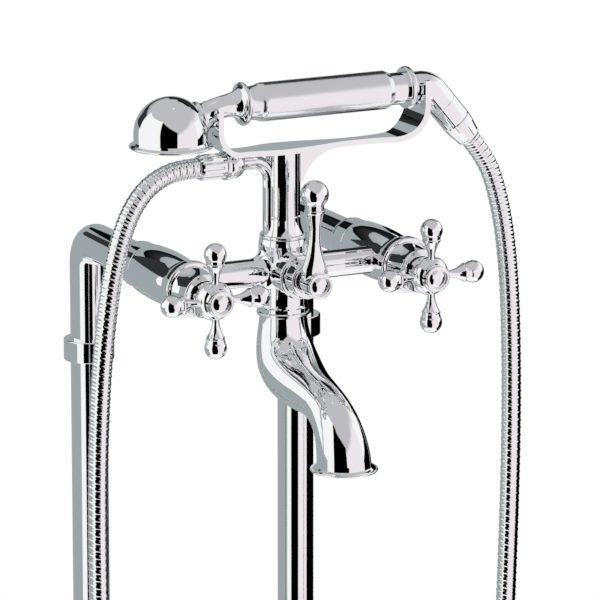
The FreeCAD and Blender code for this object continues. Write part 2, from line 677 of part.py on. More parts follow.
def riser_column():
    """Column on the body, with the outlet pipe cast along its left side."""
    base = HUB_TOP
    steps = [(0, -STEM_DEPTH), (STEM_BORE_R - FIT, -STEM_DEPTH), (STEM_BORE_R - FIT, 0), (COLUMN_RING_R - 0.6, 0),
             (COLUMN_RING_R, COLUMN_RING_THICK / 2, 0.41), (COLUMN_RING_R - 0.6, COLUMN_RING_THICK, 0.41),
             (COLUMN_FOOT_R, COLUMN_RING_THICK), (COLUMN_R, COLUMN_RING_THICK + 12.0, -0.12),
             (COLUMN_R, CRADLE_LEVEL - base), (0, CRADLE_LEVEL - base)]
    column = turned(steps, Z_AXIS, at(0, 0, base))
    pipe = swept(OUTLET_PIPE_R, outlet_path())
    whole = column.fuse([pipe, outlet_boss()])
    bore = rod(COLUMN_BORE_R, at(0, 0, base - STEM_DEPTH), at(0, 0, base + 8.0))
    link = rod(2.6, at(0, 0, base + 6.0), at(-OUTLET_PIPE_OUT, 0, base + 6.0))
    rise = bent_path(at(-OUTLET_PIPE_OUT, 0, base + 6.0), at(-OUTLET_PIPE_OUT, 0, OUTLET_LEVEL),
                     at(-OUTLET_FACE_OUT, 0, OUTLET_LEVEL), OUTLET_BEND_R)
    return whole.cut([bore, link, swept(2.6, rise)]).removeSplitter()


def half_width(points):
    """Plan of the cradle's bar: the same curve on both sides of the middle line."""
    front = Part.BSplineCurve()
    front.interpolate([at(x, w / 2, 0) for x, w in points])
    back = Part.BSplineCurve()
    back.interpolate([at(x, -w / 2, 0) for x, w in points])
    ends = [Part.makeLine(at(points[-1][0], points[-1][1] / 2, 0), at(points[-1][0], -points[-1][1] / 2, 0)),
            Part.makeLine(at(points[0][0], -points[0][1] / 2, 0), at(points[0][0], points[0][1] / 2, 0))]
    wire = Part.Wire([front.toShape(), ends[0], back.toShape(), ends[1]])
    plan = Part.Face(wire).extrude(Vector(0, 0, 200))
    plan.translate(Vector(0, 0, -50))
    return plan


def fork_strip(out, top, turn):
    """Flat strip bent up at its end, as wide as the fork."""
    side = 1 if out > 0 else -1
    plate = CRADLE_THICK
    outer_r = turn + plate
    far = out + side * plate / 2
    near = out - side * plate / 2
    base = CRADLE_LEVEL
    knee_out = at(far - side * outer_r, 0, base)
    edges = []
    start = at(-side * 2.0, 0, base)
    edges.append(Part.makeLine(start, knee_out))
    centre = at(far - side * outer_r, 0, base + outer_r)
    root = math.sqrt(0.5)
    edges.append(Part.Arc(knee_out, centre + Vector(side * outer_r * root, 0, -outer_r * root),
                          at(far, 0, base + outer_r)).toShape())
    edges.append(Part.makeLine(at(far, 0, base + outer_r), at(far, 0, top)))
    edges.append(Part.makeLine(at(far, 0, top), at(near, 0, top)))
    edges.append(Part.makeLine(at(near, 0, top), at(near, 0, base + outer_r)))
    edges.append(Part.Arc(at(near, 0, base + outer_r), centre + Vector(side * turn * root, 0, -turn * root),
                          at(far - side * outer_r, 0, base + plate)).toShape())
    edges.append(Part.makeLine(at(far - side * outer_r, 0, base + plate), at(-side * 2.0, 0, base + plate)))
    edges.append(Part.makeLine(at(-side * 2.0, 0, base + plate), start))
    face = Part.Face(Part.Wire(edges))
    face.translate(Vector(0, -40, 0))
    return face.extrude(Vector(0, 80, 0))


def fork_gap(out, radius, low_level):
    """Round bottomed gap of a fork, open upwards."""
    side = 1 if out > 0 else -1
    start = at(out - side * 14.0, 0, low_level)
    end = at(out + side * 14.0, 0, low_level)
    round_part = rod(radius, start, end)
    slot = Part.makeBox(28.0, 2 * radius, 60.0, at(out - 14.0, radius, low_level))
    return round_part.fuse(slot)


def cradle_web():
    """Hollow curved web under the bar, at the right of the column."""
    near = COLUMN_R - 2.0
    far = COLUMN_R + WEB_LENGTH
    low = at(near, 0, CRADLE_LEVEL - WEB_DROP)
    tip = at(far, 0, CRADLE_LEVEL)
    top = CRADLE_THICK / 2
    corner = at(near, 0, CRADLE_LEVEL + top)
    over = at(far, 0, CRADLE_LEVEL + top)
    side = at(COLUMN_R, 0, CRADLE_LEVEL - WEB_DROP)
    hollow = at(COLUMN_R + WEB_LENGTH * 0.3, 0, CRADLE_LEVEL - WEB_DROP * 0.34)
    edges = [Part.makeLine(corner, low), Part.makeLine(low, side), Part.Arc(side, hollow, tip).toShape(),
             Part.makeLine(tip, over), Part.makeLine(over, corner)]
    face = Part.Face(Part.Wire(edges))
    face.translate(Vector(0, -CRADLE_BAR_W / 2 - 2.0, 0))
    web = face.extrude(Vector(0, CRADLE_BAR_W + 4.0, 0))
    return web.cut(rod(COLUMN_R, at(0, 0, HUB_TOP), at(0, 0, CRADLE_LEVEL)))


def cradle():
    """Cradle: a bar on the column with a fork at each end."""
    left_w = LEFT_FORK_W
    right_w = RIGHT_FORK_W
    plan_left = half_width([(-LEFT_FORK_OUT - 6.0, left_w), (-LEFT_FORK_OUT + 4.0, left_w * 0.94),
                            (-28.0, 13.5), (-12.0, CRADLE_MIDDLE_W - 1.5), (3.0, CRADLE_MIDDLE_W)])
    plan_right = half_width([(-3.0, CRADLE_MIDDLE_W), (14.0, CRADLE_MIDDLE_W - 2.0), (36.0, CRADLE_BAR_W + 1.2),
                             (60.0, CRADLE_BAR_W), (76.0, 16.0), (RIGHT_FORK_OUT - 5.0, right_w * 0.96),
                             (RIGHT_FORK_OUT + 6.0, right_w)])
    left = fork_strip(-LEFT_FORK_OUT, LEFT_FORK_TOP, LEFT_TURN_R).common(plan_left)
    right = fork_strip(RIGHT_FORK_OUT, RIGHT_FORK_TOP, RIGHT_TURN_R).common(plan_right)
    left = left.cut(fork_gap(-LEFT_FORK_OUT, THROAT_R + FORK_AIR, HANDSET_LEVEL - THROAT_DROP))
    right = right.cut(fork_gap(RIGHT_FORK_OUT, ELBOW_R + FORK_AIR, HANDSET_LEVEL))
    left = left.cut(outlet_boss())
    web = cradle_web().common(plan_right)
    return joined([left, right, web])


# ---------------------------------------------------------------- spout
def spout_sections():
    """Centre line and radius of the spout: depth, level, angle below the front, radius."""
    top = HUB_BOTTOM - SPOUT_BEAD_THICK
    foot = MOUTH_LEVEL + MOUTH_FLANGE_THICK
    reach = MOUTH_REACH / SPOUT_DRAWN_REACH
    fall = (foot - top) / (SPOUT_DRAWN_FOOT - SPOUT_DRAWN_TOP)
    rings = [(depth * reach, top + (level - SPOUT_DRAWN_TOP) * fall, angle, radius)
             for depth, level, angle, radius in SPOUT_LINE]
    return [(0.0, top, 90.0, SPOUT_TOP_R)] + rings + [(MOUTH_REACH, foot, 90.0, MOUTH_R)]


def spout_loft(thinner):
    rings = []
    for depth, level, angle, radius in spout_sections():
        turn = math.radians(angle)
        direction = Vector(0, -math.cos(turn), -math.sin(turn))
        rings.append(ring_at(at(0, depth, level), direction, radius - thinner))
    return Part.makeLoft(rings, True, False)


def spout():
    """Cast S shaped spout with a bead at its joint and a flanged mouth."""
    top = HUB_BOTTOM
    steps = [(0, 0), (SPOUT_BEAD_R - 0.8, 0), (SPOUT_BEAD_R, SPOUT_BEAD_THICK / 2, 0.41),
             (SPOUT_BEAD_R - 0.8, SPOUT_BEAD_THICK, 0.41), (SPOUT_TOP_R, SPOUT_BEAD_THICK), (0, SPOUT_BEAD_THICK)]
    bead = turned(steps, Z_AXIS * -1, at(0, 0, top))
    stem = rod(STEM_BORE_R - FIT, at(0, 0, top + STEM_DEPTH), at(0, 0, top))
    flange = turned([(0, 0), (MOUTH_R, 0), (MOUTH_FLANGE_R - 0.6, MOUTH_FLANGE_THICK - 1.4, -0.2),
                     (MOUTH_FLANGE_R, MOUTH_FLANGE_THICK - 0.7, 0.3), (MOUTH_FLANGE_R - 0.6, MOUTH_FLANGE_THICK, 0.3),
                     (0, MOUTH_FLANGE_THICK)], Z_AXIS * -1, at(0, MOUTH_REACH, MOUTH_LEVEL + MOUTH_FLANGE_THICK))
    whole = spout_loft(0.0).fuse([bead, stem, flange])
    neck = rod(STEM_BORE_R - SPOUT_WALL, at(0, 0, top + STEM_DEPTH), at(0, 0, top - SPOUT_BEAD_THICK - 1.0))
    mouth = rod(AERATOR_R + FIT, at(0, MOUTH_REACH, MOUTH_LEVEL + AERATOR_LENGTH + 1.5), at(0, MOUTH_REACH, MOUTH_LEVEL))
    return whole.cut([spout_loft(SPOUT_WALL), neck, mouth]).removeSplitter()


def aerator():
    """Ring with a pierced plate, recessed in the mouth."""
    low = MOUTH_LEVEL + 1.5
    body = tube(AERATOR_R, AERATOR_R - 1.6, at(0, MOUTH_REACH, low), at(0, MOUTH_REACH, low + AERATOR_LENGTH))
    plate = rod(AERATOR_R - 1.2, at(0, MOUTH_REACH, low + 1.0), at(0, MOUTH_REACH, low + 2.4))
    holes = []
    for count, circle in ((6, 5.0), (12, 10.0)):
        for i in range(count):
            turn = 2 * math.pi * i / count
            place = at(circle * math.cos(turn), MOUTH_REACH + circle * math.sin(turn), low)
            holes.append(rod(0.9, place, place + Z_AXIS * 4))
    return body.fuse(plate).cut(holes)


# ---------------------------------------------------------------- handset
def head_place():
    return at(-HEAD_OUT, 0, HEAD_RIM_LEVEL)


def shower_bell():
    """Bell of the shower head, open below."""
    rim = HEAD_RIM_R
    round_from = HEAD_HEIGHT - HEAD_R
    inner = HEAD_R - HEAD_WALL
    steps = [(inner, 0), (rim - 0.6, 0), (rim, 0.8, 0.3), (rim - 0.8, HEAD_RIM_THICK * 0.7, 0.3),
             (HEAD_R + 0.6, HEAD_RIM_THICK, -0.2), (HEAD_R, HEAD_RIM_THICK + 1.5), (HEAD_R, round_from),
             (0, HEAD_HEIGHT, QUARTER), (0, HEAD_HEIGHT - HEAD_WALL), (inner, round_from, -QUARTER)]
    return turned(steps, Z_AXIS, head_place())


def bell_blank():
    """The bell's outside as one solid, which the neck is fitted to."""
    round_from = HEAD_HEIGHT - HEAD_R
    return turned([(0, 0), (HEAD_RIM_R, 0), (HEAD_RIM_R, HEAD_RIM_THICK), (HEAD_R + 0.6, HEAD_RIM_THICK),
                   (HEAD_R, HEAD_RIM_THICK + 1.5), (HEAD_R, round_from), (0, HEAD_HEIGHT, QUARTER)],
                  Z_AXIS, head_place())


def spray_plate():
    """Pierced plate in the mouth of the bell."""
    base = head_place() + Z_AXIS * 1.0
    plate = rod(HEAD_R - HEAD_WALL - FIT, base, base + Z_AXIS * 2.2)
    holes = [rod(SCREW_R, base, base + Z_AXIS * 2.2)]
    for count, circle in ((8, 7.0), (14, 12.0), (20, 17.0)):
        for i in range(count):
            turn = 2 * math.pi * i / count
            place = base + Vector(circle * math.cos(turn), circle * math.sin(turn), -1)
            holes.append(rod(0.7, place, place + Z_AXIS * 5))
    return plate.cut(holes)


def plate_screw():
    base = head_place() + Z_AXIS * 1.0
    head = rod(SCREW_HEAD_R, base - Z_AXIS * 1.4, base)
    return head.fuse(rod(SCREW_R - FIT, base, base + Z_AXIS * 8))


def neck_sections():
    """Rings of the neck from the bell's side to the front collar: out, level, tilt, radius."""
    level = HANDSET_LEVEL
    return [(61.5, level - 8.6, 8.0, NECK_RING_R - 0.7), (56.4, level - 6.8, 14.0, 9.9),
            (51.8, level - 4.0, 20.0, 7.8), (47.6, level - 2.0, 16.0, THROAT_R - 0.3),
            (THROAT_OUT, level - 0.8, 8.0, THROAT_R - 0.4), (FRONT_COLLAR_OUT + 8.0, level, 0.0, 7.6),
            (FRONT_COLLAR_OUT + 1.5, level, 0.0, FRONT_COLLAR_R - 1.0)]


def handset_neck():
    """Neck that turns from the bell up to the grip, with its ring and front collar."""
    rings = []
    for out, level, tilt, radius in neck_sections():
        turn = math.radians(tilt)
        rings.append(ring_at(at(-out, 0, level), Vector(math.cos(turn), 0, math.sin(turn)), radius))
    neck = Part.makeLoft(rings, True, False)
    turn = math.radians(NECK_RING_TILT)
    ring = turned([(0, -1.2), (NECK_RING_R - 0.9, -1.2), (NECK_RING_R, 0, 0.35), (NECK_RING_R - 0.9, 1.2, 0.35),
                   (0, 1.2)], Vector(math.cos(turn), 0, math.sin(turn)),
                  at(-NECK_RING_OUT, 0, HANDSET_LEVEL - NECK_RING_DROP))
    collar = turned([(0, -1.6), (FRONT_COLLAR_R - 1.0, -1.6), (FRONT_COLLAR_R, 0, 0.3),
                     (FRONT_COLLAR_R - 1.0, 1.6, 0.3), (0, 1.6)], X_AXIS, at(-FRONT_COLLAR_OUT, 0, HANDSET_LEVEL))
    spigot = rod(GRIP_R - GRIP_WALL - FIT, at(-FRONT_COLLAR_OUT, 0, HANDSET_LEVEL), at(GRIP_LEFT + 6, 0, HANDSET_LEVEL))
    return neck.fuse([ring, collar, spigot]).cut(bell_blank()).removeSplitter()


def grip():
    """Turned grip: a cove behind the front collar, a plain barrel and a bevelled end."""
    start = -FRONT_COLLAR_OUT + 1.6
    cove = GRIP_LEFT - start
    length = GRIP_RIGHT - start
    inner = GRIP_R - GRIP_WALL
    steps = [(inner, 0), (GRIP_R - 1.4, 0), (GRIP_R - 1.0, cove - 1.5, -0.10), (GRIP_R, cove + 2.0, 0.1),
             (GRIP_R, length - 3.5), (REAR_NECK_R + 0.5, length), (inner, length)]
    return turned(steps, X_AXIS, at(start, 0, HANDSET_LEVEL))


def rear_neck():
    """Neck and ring between the grip and the elbow."""
    start = GRIP_RIGHT
    ring = REAR_RING_OUT - start
    half = REAR_RING_THICK / 2
    steps = [(0, -8.0), (GRIP_R - GRIP_WALL - FIT, -8.0), (GRIP_R - GRIP_WALL - FIT, 0), (REAR_NECK_R, 0),
             (REAR_NECK_R, ring - half), (REAR_RING_R - 0.8, ring - half), (REAR_RING_R, ring, 0.35),
             (REAR_RING_R - 0.8, ring + half, 0.35), (ELBOW_R, ring + half), (0, ring + half)]
    return turned(steps, X_AXIS, at(start, 0, HANDSET_LEVEL))


def elbow_down():
    turn = math.radians(ELBOW_TURN)
    return Vector(math.cos(turn), 0, -math.sin(turn))


def elbow_end():
    """Where the elbow's straight end stops."""
    turn = math.radians(ELBOW_TURN)
    corner = at(ELBOW_OUT + ELBOW_BEND_R * math.tan(turn / 2), 0, HANDSET_LEVEL)
    return corner + elbow_down() * (ELBOW_BEND_R * math.tan(turn / 2) + ELBOW_STRAIGHT)


def handset_elbow():
    turn = math.radians(ELBOW_TURN)
    start = at(REAR_RING_OUT + REAR_RING_THICK / 2, 0, HANDSET_LEVEL)
    corner = at(ELBOW_OUT + ELBOW_BEND_R * math.tan(turn / 2), 0, HANDSET_LEVEL)
    return swept(ELBOW_R, bent_path(start, corner, elbow_end(), ELBOW_BEND_R))


def hose_adapter():
    """Ring between the elbow and the hose nut."""
    length = ADAPTER_LENGTH
    steps = [(0, 0), (ELBOW_R - 0.4, 0), (ELBOW_R, 0.4), (ELBOW_R, length - 0.5), (ELBOW_R - 0.5, length), (0, length)]
    return turned(steps, elbow_down(), elbow_end())


def cone_nut():
    """Conical nut that holds the hose to the handset."""
    length = CONE_LENGTH
    steps = [(0, 0), (ELBOW_R - 0.5, 0), (ELBOW_R, 0.5), (ELBOW_R - 0.3, 6.0), (CONE_END_R + 0.6, length - 2.6),
             (CONE_END_R - 0.6, length, 0.35), (0, length)]
    return turned(steps, elbow_down(), elbow_end() + elbow_down() * ADAPTER_LENGTH)


# ---------------------------------------------------------------- hose
def fluted_nut():
    """Fluted nut that holds the hose to the outlet."""
    start = at(-OUTLET_FACE_OUT, 0, OUTLET_LEVEL)
    steps = [(0, 0), (FLUTED_R - 0.4, 0), (FLUTED_R, 0.4), (FLUTED_R, FLUTED_LENGTH - 2.0),
             (FLUTED_R - 1.2, FLUTED_LENGTH), (0, FLUTED_LENGTH)]
    nut = turned(steps, X_AXIS * -1, start)
    flutes = []
    for i in range(NUT_FLUTES):
        turn = 2 * math.pi * i / NUT_FLUTES
        shift = Vector(0, math.cos(turn), math.sin(turn)) * (FLUTED_R + 0.7)
        flutes.append(rod(1.3, start + shift - X_AXIS * 2.5, start + shift - X_AXIS * (FLUTED_LENGTH + 1)))
    return nut.cut(flutes)


def hose_route():
    """Points of the hose from the handset's nut, down, round below and up to the outlet."""
    start = elbow_end() + elbow_down() * (ADAPTER_LENGTH + CONE_LENGTH)
    end = at(-OUTLET_FACE_OUT - FLUTED_LENGTH, 0, OUTLET_LEVEL)
    middle = [(150.8, 3.0, 39.5), (155.2, 8.5, 8.0), (156.2, 15.0, -42.0), (154.8, 20.0, -126.0),
              (151.5, 20.0, -246.0), (146.0, 20.0, -366.0), (133.0, 20.0, -462.0), (102.0, 20.0, -537.0),
              (46.0, 20.0, -581.0), (-26.0, 20.0, -585.0), (-89.0, 20.0, -549.0), (-122.0, 20.0, -477.0),
              (-134.0, 20.0, -376.0), (-137.5, 20.0, -256.0), (-138.8, 20.0, -140.0), (-136.0, 19.0, -60.0),
              (-128.8, 16.5, -5.0), (-120.4, 12.5, 26.5), (-110.6, 8.4, 47.6), (-98.8, 4.6, 60.6),
              (-85.8, 1.6, 67.6)]
    return ([start, start + elbow_down() * HOSE_EXIT_RIGHT] + [at(*place) for place in middle]
            + [end - X_AXIS * HOSE_EXIT_LEFT, end])


def hose_path(points):
    """Straight runs joined by tangent arcs; also gives the arcs' radii and the length."""
    edges = []
    radii = []
    here = points[0]
    for before, corner, after in zip(points, points[1:], points[2:]):
        back = before - corner
        ahead = after - corner
        short = min(back.Length, ahead.Length)
        back.normalize()
        ahead.normalize()
        half_turn = (math.pi - math.acos(max(-1.0, min(1.0, back.dot(ahead))))) / 2.0
        radius = 0.45 * short / math.tan(half_turn)
        radii.append(radius)
        enter = corner + back * (0.45 * short)
        leave = corner + ahead * (0.45 * short)
        inward = (back + ahead).normalize()
        middle = corner + inward * (radius / math.cos(half_turn) - radius)
        edges.append(Part.makeLine(here, enter))
        edges.append(Part.Arc(enter, middle, leave).toShape())
        here = leave
    edges.append(Part.makeLine(here, points[-1]))
    wire = Part.Wire(edges)
    return wire, radii


def shower_hose():
    wire, radii = hose_path(hose_route())
    outer = swept(HOSE_R, wire)
    inner = swept(HOSE_BORE_R, wire)
    hose = outer.cut(inner)
    section = math.pi * (HOSE_R ** 2 - HOSE_BORE_R ** 2)
    print("hose: least radius", round(min(radii)), "all radii", [round(r) for r in radii])
    print("hose: length", round(wire.Length, 1), "volume over section", round(hose.Volume / section, 1))
    return hose


# ---------------------------------------------------------------- all pieces
def build():
    half = VALVE_SPACING / 2
    for side, sign in LEFT_RIGHT.items():
        x = sign * half
        keep("floor_plate_" + side, floor_plate(x))
        keep("grub_screws_" + side, *grub_screws(x))
        keep("floor_rose_" + side, floor_rose(x))
        keep("standpipe_" + side, standpipe(x))
        keep("standpipe_collar_" + side, standpipe_collar(x))
        keep("inner_sleeve_" + side, inner_sleeve(x))
        keep("inlet_bend_" + side, inlet_bend(x))
        keep("union_washer_" + side, union_washer(x))
        keep("union_nut_" + side, union_nut(x))
        keep("valve_cover_" + side, valve_cover(x))
        keep("headwork_" + side, headwork(x, BARREL_FRONT, HEADWORK_BACK, VALVE_BORE_R, SHOULDER_R, NECK_R,
                                          NECK_FRONT, [at(x, 0, 0)]))
        keep("seat_seal_" + side, seat_seal(x))
        keep("fixed_disc_" + side, fixed_disc(x))
        keep("turning_disc_" + side, turning_disc(x))
        keep("spindle_" + side, spindle(x, VALVE_SPINDLE_BACK, SPINDLE_END))
        keep("cross_handle_" + side, cross_handle(x))
        keep("handle_screw_" + side, handle_screw(x, CROSS_FRONT, SCREW_HEAD_THICK + 0.6, SCREW_LENGTH))
        keep("handle_button_" + side, handle_button(x, CROSS_FRONT))
    keep("mixer_body", mixer_body())
    keep("diverter_cover", diverter_cover())
    keep("diverter_headwork", headwork(0, BOSS_FRONT, DIVERTER_BACK, DIVERTER_BORE_R, SHOULDER_R - 1.5, NECK_R - 0.6,
                                       LEVER_BACK - 1.0, [at(0, DIVERTER_BACK + PORT_R + 1.0, 0)]))
    keep("diverter_spool", diverter_spool())
    keep("diverter_spindle", spindle(0, DIVERTER_BACK + 5.0, LEVER_SPINDLE_END))
    keep("diverter_lever", diverter_lever())
    keep("lever_screw", handle_screw(0, LEVER_SPINDLE_END + SCREW_HEAD_THICK, SCREW_HEAD_THICK, SCREW_LENGTH - 1.0))
    keep("lever_button", handle_button(0, LEVER_FRONT))
    keep("riser_column", riser_column())
    keep("cradle", cradle())
    keep("spout", spout())
    keep("aerator", aerator())
    keep("shower_bell", shower_bell())
    keep("spray_plate", spray_plate())
    keep("plate_screw", plate_screw())
    keep("handset_neck", handset_neck())
    keep("grip", grip())
    keep("rear_neck", rear_neck())
    keep("handset_elbow", handset_elbow())
    keep("hose_adapter", hose_adapter())
    keep("cone_nut", cone_nut())
    keep("fluted_nut", fluted_nut())
    keep("shower_hose", shower_hose())


build()
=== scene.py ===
# %% [markdown]
# # A floor standing bath filler in polished chrome
# The object is a bath and shower mixer on two floor standing pipes. Nearly all of it is
# cast or turned brass with a mirror bright chrome plating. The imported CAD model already
# has every rigid piece at its real size, so this lesson is about three things: a hose
# wound from metal strip, the finish of plated metal, and the studio that polished metal
# needs, because chrome shows nothing but what stands round it.

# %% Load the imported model
import json
import math

import bpy
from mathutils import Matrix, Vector


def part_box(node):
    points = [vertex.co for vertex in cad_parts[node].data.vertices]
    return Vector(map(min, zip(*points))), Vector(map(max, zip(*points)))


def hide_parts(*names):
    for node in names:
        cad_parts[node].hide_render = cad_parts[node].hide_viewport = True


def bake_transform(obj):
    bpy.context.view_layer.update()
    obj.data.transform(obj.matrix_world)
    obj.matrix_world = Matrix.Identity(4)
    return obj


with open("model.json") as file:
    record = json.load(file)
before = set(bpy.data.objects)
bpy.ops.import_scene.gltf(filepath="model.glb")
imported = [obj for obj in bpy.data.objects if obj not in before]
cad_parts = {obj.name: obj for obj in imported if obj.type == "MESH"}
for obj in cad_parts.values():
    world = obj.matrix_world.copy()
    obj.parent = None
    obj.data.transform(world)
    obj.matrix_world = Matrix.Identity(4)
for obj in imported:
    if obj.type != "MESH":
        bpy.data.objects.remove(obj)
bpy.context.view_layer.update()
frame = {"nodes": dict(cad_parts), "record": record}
MM = 0.001

# %% [markdown]
# ## The camera
# The photograph was taken from a little to the left and slightly above, with a long lens
# from over three metres away, which keeps the pipes almost parallel. The camera turns
# round the centre of the mixer's body. Its height comes from the model itself, because
# the two valves' spindles are level with it, and it lies 134 mm ahead of the standpipes.

# %% Camera
CAMERA_AZIMUTH = math.radians(-26.34)
CAMERA_ELEVATION = math.radians(13.81)
CAMERA_DISTANCE = 3.2735
CAMERA_LENS = 310.9
CAMERA_REACH = 50.0           # metres
FRAMING_RIGHT = 10.75 * MM
FRAMING_UP = -19.62 * MM
BODY_AHEAD = -0.134           # metres along Y from the standpipes, where the front is negative


def middle_of(node):
    """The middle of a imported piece's box."""
    low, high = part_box(node)
    return (low + high) / 2


spindle_left = middle_of("spindle_left")
spindle_right = middle_of("spindle_right")
body_centre = Vector((0.0, BODY_AHEAD, (spindle_left.z + spindle_right.z) / 2))


def from_centre(azimuth, elevation):
    """Unit vector from the object: azimuth 0 is the front, and positive is to the right."""
    flat = math.cos(elevation)
    return Vector((math.sin(azimuth) * flat, -math.cos(azimuth) * flat, math.sin(elevation)))


back = from_centre(CAMERA_AZIMUTH, CAMERA_ELEVATION)
right = Vector((math.cos(CAMERA_AZIMUTH), math.sin(CAMERA_AZIMUTH), 0.0))
up = back.cross(right)

camera_data = bpy.data.cameras.new("photo_camera")
camera_data.lens = CAMERA_LENS
camera_data.clip_end = CAMERA_REACH
camera = bpy.data.objects.new("photo_camera", camera_data)
camera.location = body_centre + back * CAMERA_DISTANCE + right * FRAMING_RIGHT + up * FRAMING_UP
camera.rotation_mode = "QUATERNION"
camera.rotation_quaternion = (-back).to_track_quat("-Z", "Y")
bpy.context.collection.objects.link(camera)
bpy.context.scene.camera = camera
print("camera at", [round(x, 3) for x in camera.location])

# %% [markdown]
# ## The hose
# A shower hose of this kind is a metal strip wound into a spiral whose edges lock into
# each other. From a distance it is a smooth tube, but close to it is a row of round ribs,
# a broad one and a slightly smaller one by turns. It hangs in one loop between the
# outlet under the cradle and the elbow of the hand shower. The middle line is a spline
# through given points, and the ribs follow a rule, so they are left to Geometry
# Nodes: the line is cut into short steps, a circle is swept along it, and every point
# moves in or out by a wave that runs round the tube as it runs along it.

# %% The hose's middle line
BODY_Y = body_centre.y
BODY_Z = body_centre.z
HOSE_DIAMETER = 13.0 * MM
LINE_STEPS = 24               # steps between two of the route's points
HOSE_ROUTE = [  # right, forward and up from the body's centre, in millimetres
    (132.63, 0.0, 72.62), (144.20, 0.0, 58.83), (150.8, 3.0, 39.5), (155.2, 8.5, 8.0),
    (156.2, 15.0, -42.0), (154.8, 20.0, -126.0), (151.5, 20.0, -246.0), (146.0, 20.0, -366.0),
    (133.0, 20.0, -462.0), (102.0, 20.0, -537.0), (46.0, 20.0, -581.0), (-26.0, 20.0, -585.0),
    (-89.0, 20.0, -549.0), (-122.0, 20.0, -477.0), (-134.0, 20.0, -376.0), (-137.5, 20.0, -256.0),
    (-138.8, 20.0, -140.0), (-136.0, 19.0, -60.0), (-128.8, 16.5, -5.0), (-120.4, 12.5, 26.5),
    (-110.6, 8.4, 47.6), (-98.8, 4.6, 60.6), (-85.8, 1.6, 67.6), (-72.5, 0.0, 71.0), (-59.5, 0.0, 71.0)]


def hose_line():
    """The hose's middle line as a curve object, in the frame's metres."""
    data = bpy.data.curves.new("hose_line", "CURVE")
    data.dimensions = "3D"
    data.resolution_u = LINE_STEPS
    spline = data.splines.new("NURBS")
    spline.points.add(len(HOSE_ROUTE) - 1)
    for point, (x, forward, level) in zip(spline.points, HOSE_ROUTE):
        point.co = (x * MM, BODY_Y - forward * MM, BODY_Z + level * MM, 1.0)
    spline.order_u = 3
    spline.use_endpoint_u = True
    line = bpy.data.objects.new("hose_line", data)
    bpy.context.collection.objects.link(line)
    return line


line = hose_line()
bpy.context.view_layer.update()
line_mesh = bpy.data.meshes.new_from_object(line)

# %% Helpers for node trees


def add_input(tree, name, kind, value):
    """A named input of a node tree, with its starting value."""
    socket = tree.interface.new_socket(name=name, in_out="INPUT", socket_type=kind)
    if value is not None:
        socket.default_value = value


def maths(tree, operation, *values):
    """A Math node whose inputs are numbers or sockets; gives its output."""
    node = tree.nodes.new("ShaderNodeMath")
    node.operation = operation
    for socket, value in zip(node.inputs, values):
        if isinstance(value, (int, float)):
            socket.default_value = value
        else:
            tree.links.new(value, socket)
    return node.outputs[0]


# %% Ribs along a line
RIB_PITCH = 2.43 * MM
RIB_DEPTH = 0.75 * MM
RIB_STEP = 0.22 * MM          # how much smaller every second rib is
CROWN = 0.35                  # below 1, a rib is flatter on top and its groove narrower
SPIRALS = 2.0                 # ribs that wind side by side
STEPS_PER_RIB = 6
SIDES = 18


